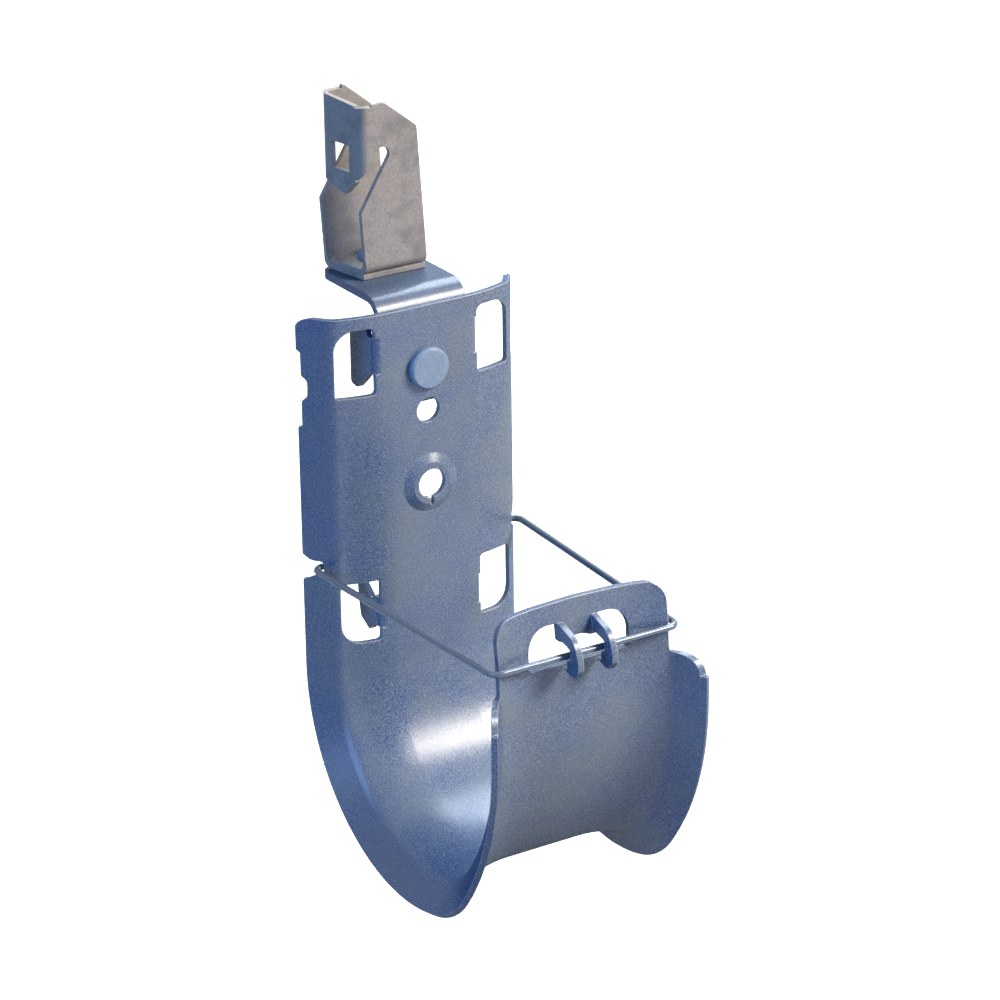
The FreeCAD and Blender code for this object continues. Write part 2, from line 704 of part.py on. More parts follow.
def make_bracket_rivet():
    """Flat round head on the cable side, upset tail behind the bracket."""
    head = size("plate_rivet_head") / 2
    tall = size("plate_rivet_head_height")
    shank = size("plate_rivet_shank") / 2
    grip = THICKNESS + size("bracket_gap") + size("bracket_thickness")
    tail = size("plate_rivet_tail") / 2
    end = grip + size("plate_rivet_tail_height")
    edge = size("rivet_edge")
    profile = [
        (0, -tall), (head - edge, -tall), (head, edge - tall), (head, 0), (shank, 0), (shank, grip), (tail, grip),
        (tail, end - edge), (tail - edge, end), (0, end),
    ]
    return turned_rivet("bracket_rivet", profile, FreeCAD.Placement(
        Vector(0, CABLE_FACE, size("rivet_height")), FreeCAD.Rotation()))


def make_clip_rivet():
    """Round head inside the clip, tail upset under the bracket; the clip turns on its shank."""
    head = size("clip_rivet_head") / 2
    tall = size("clip_rivet_head_height")
    shank = size("clip_rivet_shank") / 2
    tail = size("clip_rivet_tail") / 2
    under = -size("bracket_thickness")
    over = 2 * size("clip_thickness") + 2 * size("clip_gap")
    end = under - size("clip_rivet_tail_height")
    edge = size("rivet_edge")
    profile = [
        (0, end), (tail - edge, end), (tail, end + edge), (tail, under), (shank, under), (shank, over), (head, over),
        (head, over + tall * 0.35), (head * 0.84, over + tall * 0.78), (head * 0.55, over + tall), (0, over + tall),
    ]
    return turned_rivet("clip_rivet", profile, FreeCAD.Placement(
        Vector(size("clip_rivet_across"), size("clip_rivet_back"), size("bracket_top")),
        FreeCAD.Rotation(Vector(1, 0, 0), 90)))


# Flange clip: one spring sheet, two walls joined by a bridge, their feet lapped on the rivet

def jaw_lines(base, shift, rise):
    """Ends of the jaw's lower and upper edges in one wall, seen from the front."""
    angle = math.radians(size("jaw_angle"))
    along = Vector(math.cos(angle), math.sin(angle), 0)
    across = Vector(-along.y, along.x, 0) * size("jaw_width")
    height = size("jaw_mouth_height") + rise / 2
    left = size("clip_foot_left") + shift - math.tan(math.radians(size("clip_side_lean"))) * height
    lower_start = Vector(left, base + height, 0)
    lower_end = lower_start + along * size("jaw_length")
    return lower_start, lower_end, lower_end + across, along


def wall_outline(base, shift, rise, column):
    """Outline of one wall above its foot; the jaw runs in from the left, below the fold or past a column."""
    lower_start, lower_end, upper_end, along = jaw_lines(base, shift, rise)
    left = size("clip_foot_left") + shift
    right = size("clip_foot_right") + shift
    fold = left - size("clip_fold_offset") + column
    upper_start = upper_end - along * ((upper_end.x - fold) / along.x)
    shoulder = base + size("clip_shoulder_height") + rise
    crest = base + size("clip_crest_height") + rise
    shoulder_right = right - math.tan(math.radians(size("clip_side_lean"))) * (shoulder - base)
    crest_across = size("clip_crest_across") + shift
    round_end = size("jaw_width") * 0.49
    below = base - MARGIN
    outside = left - FAR
    corners = [
        (right, below), (right, base), (shoulder_right, shoulder, 1.0), (crest_across, crest, 0.8),
        (crest_across - 3.0, crest - 0.2, 3.0), (fold, crest - 0.5), (outside, crest - 0.5),
    ]
    if column:
        corners += [(outside, below), (fold - 0.1, below), (fold, upper_start.y)]
        start = lower_end - along * (lower_end.x - fold - 0.2) * (1 / along.x)
        corners += [(upper_end.x, upper_end.y, round_end), (lower_end.x, lower_end.y, round_end), (start.x, start.y)]
        corners += [(fold + 0.2, below)]
    else:
        corners += [
            (outside, upper_start.y - MARGIN), (fold, upper_start.y), (upper_end.x, upper_end.y, round_end),
            (lower_end.x, lower_end.y, round_end), (lower_start.x, lower_start.y), (lower_start.x, below),
        ]
    return corners


def lower_wall(base, shift, rise):
    """Lower part of a wall: its left edge leans out to the jaw's mouth, then follows the jaw."""
    lower_start, lower_end, upper_end, along = jaw_lines(base, shift, rise)
    inner = size("clip_foot_left") + size("clip_lower_width")
    reach = (inner - lower_start.x) / along.x
    foot = size("clip_thickness") + size("clip_bend_radius") + 0.1
    left = size("clip_foot_left") + shift - math.tan(math.radians(size("clip_side_lean"))) * foot
    return [
        (left, base + foot), (lower_start.x, lower_start.y, 0.8),
        (inner, lower_start.y + along.y * reach), (inner, base + foot),
    ]


def make_flange_clip():
    body = new_body("flange_clip")
    thick = size("clip_thickness")
    base = size("bracket_top") + size("clip_gap")
    front = size("clip_front")
    rear = size("clip_rear")
    bend = size("clip_bend_radius")
    rise = size("clip_rear_rise")
    shift = size("clip_rear_shift")
    crest = base + size("clip_crest_height") + rise + 1.0
    blank = size("clip_blank_half_width")

    # Feet with their bends: the rear foot lies under the front one
    feet = new_sketch(body, "feet_profile", "YZ_Plane", "-Sizes.clip_blank_half_width")
    riser = base + thick + bend + 0.4
    draw_outline(feet, [
        (front, riser), (front, base + thick, bend), (rear - bend - 0.6, base + thick),
        (rear - bend - 0.6, base + 2 * thick), (front + thick, base + 2 * thick, bend - thick), (front + thick, riser),
    ])
    add_pad(body, "front_foot", feet, "Sizes.clip_blank_half_width * 2")
    lap = new_sketch(body, "rear_foot_profile", "YZ_Plane", "-Sizes.clip_blank_half_width")
    draw_outline(lap, [
        (rear, riser), (rear, base, bend), (front + 0.7, base), (front + 0.7, base + thick),
        (rear - thick, base + thick, bend - thick), (rear - thick, riser),
    ])
    add_pad(body, "rear_foot", lap, "Sizes.clip_blank_half_width * 2")

    # Sides of the feet follow the skew of the walls
    sides = new_sketch(body, "feet_sides", "XY_Plane", riser + 1.0)
    skew = shift / (rear - front)
    draw_outline(sides, [
        (-blank - FAR, front - FAR), (blank + FAR, front - FAR), (blank + FAR, rear + FAR), (-blank - FAR, rear + FAR),
    ])
    foot_left = size("clip_foot_left")
    foot_right = size("clip_foot_right")
    draw_outline(sides, [
        (foot_left - 3 * skew, front - 3), (foot_right - 3 * skew, front - 3),
        (foot_right + shift + 3 * skew, rear + 3), (foot_left + shift + 3 * skew, rear + 3),
    ])
    add_pocket(body, "feet_trim", sides, riser - base + 2.0)

    # Walls and bridge seen from above: a channel open to the right, skewed by the rear wall's shift
    left = size("clip_foot_left") - size("clip_fold_offset")
    plan = new_sketch(body, "wall_plan", "XY_Plane", riser - 0.2)
    draw_outline(plan, [
        (blank, front), (left, front, bend), (left + shift, rear, bend), (blank, rear), (blank, rear - thick),
        (left + shift + thick, rear - thick, bend - thick), (left + thick, front + thick, bend - thick),
        (blank, front + thick),
    ])
    add_pad(body, "walls", plan, crest - riser + 0.2)

    # Each wall is cut to its own outline, front and rear apart
    for name, offset, lift, column, first, last in (
        ("front_wall", 0.0, 0.0, 0.0, front - 2.0, front + bend + 0.1),
        ("rear_wall", shift, rise, bend, rear - bend - 0.1, rear + 2.0),
    ):
        outline = new_sketch(body, name + "_outline", "XZ_Plane", -first)
        draw_outline(outline, [
            (-blank - FAR, base - FAR), (blank + FAR, base - FAR), (blank + FAR, crest + FAR), (-blank - FAR, crest + FAR),
        ])
        draw_outline(outline, wall_outline(base, offset, lift, column))
        add_pocket(body, name + "_trim", outline, last - first)

    # Bridge: sloping top, lowered lip with one cut-back corner, and its window
    bridge = new_sketch(body, "bridge_outline", "YZ_Plane", left + bend + 0.6)
    top = base + size("clip_crest_height") - 0.4
    draw_outline(bridge, [
        (front - 1.0, crest + 2), (front - 1.0, top - 0.1), (rear + 1.0, top + rise), (rear + 1.0, crest + 2),
    ])
    lip = base + size("bridge_lip_height")
    tip = front + size("bridge_tip_back")
    lip_slope = size("bridge_lip_rise") / (rear - tip)
    draw_outline(bridge, [
        (front - 1.0, base + size("bridge_bottom_height") - 1.0), (front - 1.0, base - 2.0), (rear + 1.0, base - 2.0),
        (rear + 1.0, lip + lip_slope * (rear + 1.0 - tip)), (tip, lip, 0.5),
        (front, base + size("bridge_bottom_height")),
    ])
    draw_outline(bridge, [
        (front + size("bridge_window_front"), base + size("bridge_window_bottom")),
        (front + size("bridge_window_rear"), base + size("bridge_window_bottom")),
        (front + size("bridge_window_rear"), base + size("bridge_window_top")),
        (front + size("bridge_window_front"), base + size("bridge_window_top")),
    ])
    add_pocket(body, "bridge_trim", bridge, bend + 1.2 + abs(shift))

    # Lower part of each wall, whose left edge reaches out past the bridge
    for name, offset, lift, place in (("front_low", 0.0, 0.0, front), ("rear_low", shift, rise, rear - thick)):
        low = new_sketch(body, name + "_outline", "XZ_Plane", -place - thick)
        draw_outline(low, lower_wall(base, offset, lift))
        add_pad(body, name, low, "Sizes.clip_thickness")

    # Hole for the rivet through both feet
    hole = new_sketch(body, "foot_hole_circle", "XY_Plane", "Sizes.bracket_top + Sizes.clip_thickness * 2 + 2")
    draw_circle(hole, "Sizes.clip_rivet_shank / 2 + Sizes.rivet_clearance",
                "Sizes.clip_rivet_across", "Sizes.clip_rivet_back")
    doc.recompute()
    add_pocket(body, "foot_hole", hole, "Sizes.clip_thickness * 2 + 4")
    return body


MAKERS = [
    make_hook_body, make_wire_retainer, make_angle_bracket, make_bracket_rivet, make_clip_rivet, make_flange_clip,
]
pieces = [make() for make in MAKERS]
# The frame's origin lies halfway along the screw hole's wall
to_origin = FreeCAD.Placement(Vector(0, THICKNESS / 2 + size("boss_height"), 0), FreeCAD.Rotation())
for piece in pieces:
    piece.Placement = to_origin * piece.Placement
doc.recompute()

for item in doc.Objects:
    if "Invalid" in item.State or "Error" in item.State:
        raise ValueError("failed: " + item.Name)
os.makedirs("parts", exist_ok=True)
for piece in pieces:
    shape = piece.Shape
    if shape.isNull() or not shape.isValid() or len(shape.Solids) != 1:
        raise ValueError("bad shape: " + piece.Label)
    box = shape.BoundBox
    print("%-14s volume %8.1f  x %6.1f %6.1f  y %6.1f %6.1f  z %6.1f %6.1f" % (
        piece.Label, shape.Volume, box.XMin, box.XMax, box.YMin, box.YMax, box.ZMin, box.ZMax))
    shape.exportStep("parts/%s.step" % piece.Label)
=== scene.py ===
# %% [markdown]
# # A J hook for cables, dressed for the camera
# The object is a pressed steel hook that carries a bundle of data cables. A wire
# retainer closes its mouth, and a hardened clip on top is hammered on to a beam's
# flange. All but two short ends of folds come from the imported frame, so this lesson
# is about metal: how a galvanised sheet, a drawn wire and a coated spring differ to
# the eye, and how plain soft light shows it. The first cell loads the frame and
# notes its size.

# %% Load the frame
import bmesh
import bpy
import math
from mathutils import Matrix, Vector


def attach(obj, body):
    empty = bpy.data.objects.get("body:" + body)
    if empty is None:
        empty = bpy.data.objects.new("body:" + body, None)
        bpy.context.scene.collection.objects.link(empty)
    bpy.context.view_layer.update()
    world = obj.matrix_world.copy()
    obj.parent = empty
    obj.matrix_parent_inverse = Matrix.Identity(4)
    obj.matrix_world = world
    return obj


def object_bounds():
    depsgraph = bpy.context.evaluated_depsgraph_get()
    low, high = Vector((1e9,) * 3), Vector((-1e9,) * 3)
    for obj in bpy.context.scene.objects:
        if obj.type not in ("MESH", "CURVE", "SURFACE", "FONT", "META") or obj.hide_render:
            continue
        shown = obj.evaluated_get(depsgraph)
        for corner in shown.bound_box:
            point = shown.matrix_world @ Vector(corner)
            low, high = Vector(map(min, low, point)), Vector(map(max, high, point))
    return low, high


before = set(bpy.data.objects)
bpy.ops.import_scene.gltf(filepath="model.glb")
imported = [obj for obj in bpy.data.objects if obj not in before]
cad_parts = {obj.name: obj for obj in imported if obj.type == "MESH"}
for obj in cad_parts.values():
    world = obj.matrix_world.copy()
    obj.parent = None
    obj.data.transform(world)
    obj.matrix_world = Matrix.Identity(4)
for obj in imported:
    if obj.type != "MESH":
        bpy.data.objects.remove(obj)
CAD_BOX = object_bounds()
print("CAD nodes:", ", ".join(sorted(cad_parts)))

# %% [markdown]
# Lengths are written in millimetres, as they are read off the real thing, and
# colours as sRGB hex values, as they are picked from a chart. Blender wants metres
# and linear light, so one number and one function do the conversion.

# %% Units and colours
MM = 0.001
WHITE = "#FFFFFF"


def linear(hex_colour):
    """sRGB hex to the linear RGBA that a shader socket takes."""
    channels = [int(hex_colour[i:i + 2], 16) / 255 for i in (1, 3, 5)]
    return [c / 12.92 if c <= 0.04045 else ((c + 0.055) / 1.055) ** 2.4 for c in channels] + [1.0]


print("middle grey in linear light:", [round(value, 3) for value in linear("#808080")])

# %% [markdown]
# A material is a small graph. One function adds a node of any kind, sets it up and
# joins its links, so that each finish below reads as a list of what it is made of.
# An input is given by its name, or by its number after an underscore where several
# inputs share a name. A node given as a value stands for its first output. A Mix of
# colours takes its factor as input 0 and its two colours as 6 and 7, and gives the
# result as output 2.

# %% A function that adds a node
MIX_COLOURS = {"data_type": "RGBA"}


def add_node(tree, kind, settings=None, **inputs):
    """Adds one node; each input is a value, another node or another node's output socket."""
    node = tree.nodes.new(kind)
    for name, value in (settings or {}).items():
        setattr(node, name, value)
    for name, value in inputs.items():
        key = int(name[1:]) if name[0] == "_" else name.replace("_", " ")
        source = value.outputs[0] if isinstance(value, bpy.types.Node) else value
        if isinstance(source, bpy.types.NodeSocket):
            tree.links.new(source, node.inputs[key])
        else:
            node.inputs[key].default_value = source
    return node


print("nodes are added by", add_node.__name__)

# %% [markdown]
# Each finish goes into the slots of a CAD node, whose mesh stays as it is.

# %% Putting a finish on a node
def new_material(name):
    """An empty material, and its node tree."""
    material = bpy.data.materials.new(name)
    material.use_nodes = True
    material.node_tree.nodes.clear()
    return material, material.node_tree


def cover(node, material):
    """Gives every slot of a CAD node one material."""
    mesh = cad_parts[node].data
    if not mesh.materials:
        mesh.materials.append(material)
    for index in range(len(mesh.materials)):
        mesh.materials[index] = material
    print(node, "is covered with", material.name)


print("CAD nodes to cover:", len(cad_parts))

# %% [markdown]
# The hook is pressed from pre-galvanised strip. Hot-dip zinc leaves a skin of fine
# crystals, each of which tilts the light a little differently, so the sheet shows a
# speckle rather than a mirror. Its blue comes from the thin passivation over the
# zinc. Three sizes of pattern do this: the grain; rare bright flecks, which are
# painted glints, single crystals painted pale as if they faced the light; and the
# slow clouds that rolling and handling leave. Noise keeps near its middle value, so
# a band of it is stretched to give the contrast.

# %% Patterns of the pre-galvanised sheet
GRAIN = 0.32                  # mm, one zinc crystal
GLINT = 0.24                  # mm, a painted glint: a crystal painted pale as if it faced the light
CLOUD = 11.0                  # mm, slow patches left by rolling and handling
BAND = (0.36, 0.64)           # the band of a fine noise that is stretched from 0 to 1
CLOUD_BAND = (0.38, 0.66)
CLOUD_SHARE = 0.55            # how far a cloud hides the crystals
GLINT_BAND = (0.63, 0.75)     # only the peaks of the noise are painted glints
GLINT_SHARE = 0.6             # how far a painted glint hides them

# Pre-galvanised steel strip: satin zinc with a blue passivated skin, worn round at its sheared edges and
# painted near white there as wear and highlight, with painted glints
sheet, tree = new_material("pre_galvanised_steel_sheet")
place = add_node(tree, "ShaderNodeTexCoord").outputs["Object"]
grain = add_node(tree, "ShaderNodeTexNoise", Vector=place, Scale=1 / (GRAIN * MM), Detail=2.0, Roughness=0.6)
grain = add_node(tree, "ShaderNodeMapRange", Value=grain, From_Min=BAND[0], From_Max=BAND[1])
cloud = add_node(tree, "ShaderNodeTexNoise", Vector=place, Scale=1 / (CLOUD * MM), Detail=2.0)
cloud = add_node(tree, "ShaderNodeMapRange", Value=cloud, From_Min=CLOUD_BAND[0], From_Max=CLOUD_BAND[1],
                 To_Min=0.0, To_Max=CLOUD_SHARE)
# Painted glints: the peaks of a fine noise paint single crystals pale, as if they faced the light
glint = add_node(tree, "ShaderNodeTexNoise", Vector=place, Scale=1 / (GLINT * MM), Detail=1.0)
glint = add_node(tree, "ShaderNodeMapRange", Value=glint, From_Min=GLINT_BAND[0], From_Max=GLINT_BAND[1],
                 To_Min=0.0, To_Max=GLINT_SHARE)
print("one zinc crystal is", GRAIN, "mm wide")

# %% [markdown]
# A sheared edge is rubbed round and pale. The Bevel node bends the normals within
# about a quarter of a millimetre of an edge, so that it catches a thin line of
# light, and where they leave the face's own normal the colour turns nearly white as
# well: partly the pale of wear, partly a painted highlight along the edge.
# A metallic shader would turn white wherever a face is seen at a slant, so the skin
# is matt and the same small share of gloss lies over all of it.

# %% Edges and gloss of the sheet
ZINC_BLUE, ZINC_PALE = "#425C8C", "#7F8FA6"
ZINC_CLOUD = "#7F8C93"
# the pale of the painted glints
ZINC_GLINT = "#CBD2DA"
# the pale of a worn edge, with a painted highlight in it
ZINC_WORN_HIGHLIGHT = "#EEF1F4"
SATIN = (0.20, 0.30)          # roughness, from a crystal's dark tone to its pale one
EDGE = 0.28                   # mm, how far a sheared edge is rubbed round
EDGE_SAMPLES = 4              # rays by which the Bevel node feels for an edge
WORN_HIGHLIGHT_BAND = (0.98, 0.85)      # cosine of the bend in the normal, from sound zinc to a worn edge with its painted highlight
RELIEF = 0.03                 # mm, the height of the grain
SHEET_BUMP = 0.22
SHEET_GLOSS = 0.06            # share of gloss over the matt skin

edge = add_node(tree, "ShaderNodeBevel", {"samples": EDGE_SAMPLES}, Radius=EDGE * MM)
flat = add_node(tree, "ShaderNodeNewGeometry").outputs["Normal"]
# Worn edges with a painted highlight: where the Bevel normal leaves the face's own, the colour is painted
# nearly white
worn_highlight = add_node(tree, "ShaderNodeVectorMath", {"operation": "DOT_PRODUCT"}, _0=edge, _1=flat)
worn_highlight = add_node(tree, "ShaderNodeMapRange", Value=worn_highlight.outputs["Value"], From_Min=WORN_HIGHLIGHT_BAND[0],
                From_Max=WORN_HIGHLIGHT_BAND[1])
colour = add_node(tree, "ShaderNodeMix", MIX_COLOURS, _0=grain, _6=linear(ZINC_BLUE), _7=linear(ZINC_PALE))
# clouds, painted glints, and worn edges with a painted highlight go over the grain in turn
for mask, shade in ((cloud, ZINC_CLOUD), (glint, ZINC_GLINT), (worn_highlight, ZINC_WORN_HIGHLIGHT)):
    colour = add_node(tree, "ShaderNodeMix", MIX_COLOURS, _0=mask, _6=colour.outputs[2], _7=linear(shade))
rough = add_node(tree, "ShaderNodeMapRange", Value=grain, To_Min=SATIN[0], To_Max=SATIN[1])
bump = add_node(tree, "ShaderNodeBump", Strength=SHEET_BUMP, Distance=RELIEF * MM, Height=grain, Normal=edge)
skin = add_node(tree, "ShaderNodeBsdfPrincipled", Base_Color=colour.outputs[2], Roughness=rough,
                Specular_IOR_Level=0.0, Normal=bump)
gloss = add_node(tree, "ShaderNodeBsdfGlossy", Color=linear(WHITE), Roughness=rough, Normal=bump)
both = add_node(tree, "ShaderNodeMixShader", _0=SHEET_GLOSS, _1=skin, _2=gloss)
add_node(tree, "ShaderNodeOutputMaterial", Surface=both)
cover("hook_body", sheet)

# %% [markdown]
# The retainer is drawn spring wire. The die leaves it smooth and round, so a thin
# bright line runs along it, and its blue-grey is close to the sheet's. A third of
# the metallic look is enough: all of it would mirror the white room.

# %% Drawn spring wire
DRIFT = 0.5                   # mm, how slowly the tone drifts along the wire

# Drawn spring steel wire, zinc plated: smooth, with faint drifts of tone from the die
wire, tree = new_material("drawn_spring_wire")
place = add_node(tree, "ShaderNodeTexCoord").outputs["Object"]
drift = add_node(tree, "ShaderNodeTexNoise", Vector=place, Scale=1 / (DRIFT * MM), Detail=1.0)
colour = add_node(tree, "ShaderNodeMix", MIX_COLOURS, _0=drift, _6=linear("#667488"), _7=linear("#7C8796"))
skin = add_node(tree, "ShaderNodeBsdfPrincipled", Base_Color=colour.outputs[2], Roughness=0.22,
                Metallic=0.35)
add_node(tree, "ShaderNodeOutputMaterial", Surface=skin)
cover("wire_retainer", wire)

# %% [markdown]
# The angle bracket is plated after it is bent, so its zinc is more even than the
# strip's, and a soft gleam runs along the bend. It is made as the sheet is, with one
# pattern instead of three.

# %% Zinc plated bracket
PLATE_GRAIN = 0.35            # mm, the fine tooth of electroplated zinc
FINE_RELIEF = 0.02            # mm, the height of a fine tooth
FINE_BUMP = 0.15
PLATE_GLOSS = 0.07            # share of gloss over the matt skin

# Zinc plated steel strip: an even blue-grey with a fine tooth
plated, tree = new_material("zinc_plated_strip")
place = add_node(tree, "ShaderNodeTexCoord").outputs["Object"]
grain = add_node(tree, "ShaderNodeTexNoise", Vector=place, Scale=1 / (PLATE_GRAIN * MM), Detail=2.0)
grain = add_node(tree, "ShaderNodeMapRange", Value=grain, From_Min=BAND[0], From_Max=BAND[1])
colour = add_node(tree, "ShaderNodeMix", MIX_COLOURS, _0=grain, _6=linear("#4E6282"), _7=linear("#6D7A8C"))
edge = add_node(tree, "ShaderNodeBevel", {"samples": EDGE_SAMPLES}, Radius=EDGE * MM)
bump = add_node(tree, "ShaderNodeBump", Strength=FINE_BUMP, Distance=FINE_RELIEF * MM, Height=grain,
                Normal=edge)
skin = add_node(tree, "ShaderNodeBsdfPrincipled", Base_Color=colour.outputs[2], Specular_IOR_Level=0.0,
                Normal=bump)
gloss = add_node(tree, "ShaderNodeBsdfGlossy", Color=linear(WHITE), Roughness=0.26, Normal=bump)
both = add_node(tree, "ShaderNodeMixShader", _0=PLATE_GLOSS, _1=skin, _2=gloss)
add_node(tree, "ShaderNodeOutputMaterial", Surface=both)
cover("angle_bracket", plated)

# %% [markdown]
# A rivet's head is upset by a flat tool, which leaves it paler and almost even, with
# a few small dents.

# %% Rivets
DENT = 0.9                    # mm, a mark of the riveting tool
DENT_BAND = (0.35, 0.65)
HEAD_EDGE = 0.35              # mm, how far the rim of the head is rounded

# Zinc plated rivet steel: pale, flattened by the tool
rivet, tree = new_material("zinc_plated_rivet")
place = add_node(tree, "ShaderNodeTexCoord").outputs["Object"]
dent = add_node(tree, "ShaderNodeTexNoise", Vector=place, Scale=1 / (DENT * MM), Detail=3.0)
dent = add_node(tree, "ShaderNodeMapRange", Value=dent, From_Min=DENT_BAND[0], From_Max=DENT_BAND[1])
colour = add_node(tree, "ShaderNodeMix", MIX_COLOURS, _0=dent, _6=linear("#8DA1BA"), _7=linear("#9FB1C8"))
edge = add_node(tree, "ShaderNodeBevel", {"samples": EDGE_SAMPLES}, Radius=HEAD_EDGE * MM)
bump = add_node(tree, "ShaderNodeBump", Strength=FINE_BUMP, Distance=RELIEF * MM, Height=dent, Normal=edge)
skin = add_node(tree, "ShaderNodeBsdfPrincipled", Base_Color=colour.outputs[2], Roughness=0.4, Metallic=0.1,
                Normal=bump)
add_node(tree, "ShaderNodeOutputMaterial", Surface=skin)
for head in ("bracket_rivet", "clip_rivet"):
    cover(head, rivet)

# %% [markdown]
# The clip is hardened spring steel. Its protective coat is matt and warm beside the
# blue zinc of the hook, with faint darker smudges.

# %% Spring steel clip
TOOTH = 0.35                  # mm, the tooth of the coat
SMUDGE = 3.5                  # mm, marks of hands and oil
SMUDGE_BAND = (0.48, 0.70)
SMUDGE_SHARE = 0.55           # how far a smudge hides the coat

# Hardened spring steel with a thin matt coat: warm grey, soft sheen, slow smudges
spring, tree = new_material("coated_spring_steel")
place = add_node(tree, "ShaderNodeTexCoord").outputs["Object"]
tooth = add_node(tree, "ShaderNodeTexNoise", Vector=place, Scale=1 / (TOOTH * MM), Detail=2.0)
tooth = add_node(tree, "ShaderNodeMapRange", Value=tooth, From_Min=BAND[0], From_Max=BAND[1])
smudge = add_node(tree, "ShaderNodeTexNoise", Vector=place, Scale=1 / (SMUDGE * MM), Detail=3.0)
smudge = add_node(tree, "ShaderNodeMapRange", Value=smudge, From_Min=SMUDGE_BAND[0], From_Max=SMUDGE_BAND[1],
                  To_Min=0.0, To_Max=SMUDGE_SHARE)
colour = add_node(tree, "ShaderNodeMix", MIX_COLOURS, _0=tooth, _6=linear("#A09894"), _7=linear("#B8B0AA"))
colour = add_node(tree, "ShaderNodeMix", MIX_COLOURS, _0=smudge, _6=colour.outputs[2], _7=linear("#7C7C76"))
edge = add_node(tree, "ShaderNodeBevel", {"samples": EDGE_SAMPLES}, Radius=EDGE * MM)
bump = add_node(tree, "ShaderNodeBump", Strength=FINE_BUMP, Distance=FINE_RELIEF * MM, Height=tooth,
                Normal=edge)
skin = add_node(tree, "ShaderNodeBsdfPrincipled", Base_Color=colour.outputs[2], Roughness=0.5, Metallic=0.05,
                Normal=bump)
add_node(tree, "ShaderNodeOutputMaterial", Surface=skin)
cover("flange_clip", spring)

# %% [markdown]
# Each wall of the clip turns inward at its foot, one foot lapping over the other. The
# left ends of these two folds are drawn here. They could be pulled from the walls'
# own edges, but a CAD mesh is loose triangles, so each is a profile across the clip
# instead: down the wall, round the bend, along the foot and back inside.

# %% Profile of a folded foot
THICKNESS = 1.0               # mm
FOLD = 1.9                    # mm, outer bend radius
BEND_STEP = 10                # degrees between the corners of a bend
WALL_START = 41.2             # mm, the height where the walls go on in the CAD solid


def foot_profile(wall, inward, underside, reach):
    """Corners (y, z) from a wall's outer face, the way its foot turns, its underside and its reach."""
    bend_y, bend_z = wall + inward * FOLD, underside + FOLD
    turn = [math.radians(degrees) for degrees in range(0, 91, BEND_STEP)]
    outer, inner = ([(bend_y - inward * radius * math.cos(a), bend_z - radius * math.sin(a)) for a in turn]
                    for radius in (FOLD, FOLD - THICKNESS))
    edge_y = wall + inward * reach
    return [(wall, WALL_START), *outer, (edge_y, underside), (edge_y, underside + THICKNESS),
            *reversed(inner), (wall + inward * THICKNESS, WALL_START)]


print("a foot is folded from a sheet of", THICKNESS, "mm")

# %% [markdown]
# A circle with as many corners as the profile gives the face to start from. Its
# corners move on to the profile, and an extrusion carries it to the slanted end that
# the foot shares with the wall above it.

# %% Left ends of the folded feet
CLIP_BODY = "clip"
WALL_FRONT, WALL_REAR = 11.8, 23.7       # mm, the outer faces of the two walls
FOOT_INNER = -4.0             # mm, where the folds go on in the CAD solid
END_FRONT, END_REAR = -6.15, -8.36       # mm, the slanted end at the front and rear walls
REAR_UNDERSIDE = 38.2         # mm, height; the rear foot lies under the front one
FRONT_REACH, REAR_REACH = 9.4, 11.2      # mm, from a wall's outer face to its foot's edge


def folded_foot(name, profile):
    """The left end of one foot: its profile, extruded from the CAD solid's fold to the slanted end."""
    build = bmesh.new()
    bmesh.ops.create_circle(build, cap_ends=True, segments=len(profile), radius=FOLD * MM)
    for corner, (y, z) in zip(build.verts, profile):
        corner.co = Vector((FOOT_INNER, y, z)) * MM
    grown = bmesh.ops.extrude_face_region(build, geom=build.faces[:], use_keep_orig=True)["geom"]
    for corner in (item for item in grown if isinstance(item, bmesh.types.BMVert)):
        share = (corner.co.y / MM - WALL_FRONT) / (WALL_REAR - WALL_FRONT)
        corner.co.x = (END_FRONT + (END_REAR - END_FRONT) * share) * MM
    bmesh.ops.recalc_face_normals(build, faces=build.faces[:])
    mesh = bpy.data.meshes.new(name)
    build.to_mesh(mesh)
    build.free()
    mesh.materials.append(spring)
    foot = bpy.data.objects.new(name, mesh)
    bpy.context.scene.collection.objects.link(foot)
    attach(foot, CLIP_BODY)
    print(name, "has", len(mesh.vertices), "corners")


folded_foot("clip_front_foot_end", foot_profile(WALL_FRONT, 1, REAR_UNDERSIDE + THICKNESS, FRONT_REACH))
folded_foot("clip_rear_foot_end", foot_profile(WALL_REAR, -1, REAR_UNDERSIDE, REAR_REACH))

# %% [markdown]
# The photograph's background is white, but its undersides lie in a blue shade. More
# light would not give both. Light Path tells which ray asks: those of the camera, of
# gloss and of glass find white, and those that gather light for a matt surface find
# a dim blue. The floor and the room both use the function below.

# %% Rays that find white
def seen_share(tree):
    """1 for rays of the camera, of gloss and of glass, and 0 for those of matt surfaces."""
    path = add_node(tree, "ShaderNodeLightPath").outputs
    share = path["Is Camera Ray"]
    for ray in ("Is Glossy Ray", "Is Transmission Ray"):
        share = add_node(tree, "ShaderNodeMath", {"operation": "ADD", "use_clamp": True}, _0=share,
                         _1=path[ray])
    return share


print("rays are sorted by", seen_share.__name__)

# %% [markdown]
# The object is shown on white paper, far enough below for its shadow to stay soft. A
# little light of its own, for the camera only, lifts the lit paper to white and
# keeps its shadow.

# %% Floor
FLOOR_DROP = 60.0             # mm below the hook
FLOOR_HALF = 3000.0           # mm
PAPER = "#FCFCFC"
BOUNCE = "#2C3B54"            # the paper as matt surfaces find it
PAPER_LIFT = 0.72             # the paper's own light

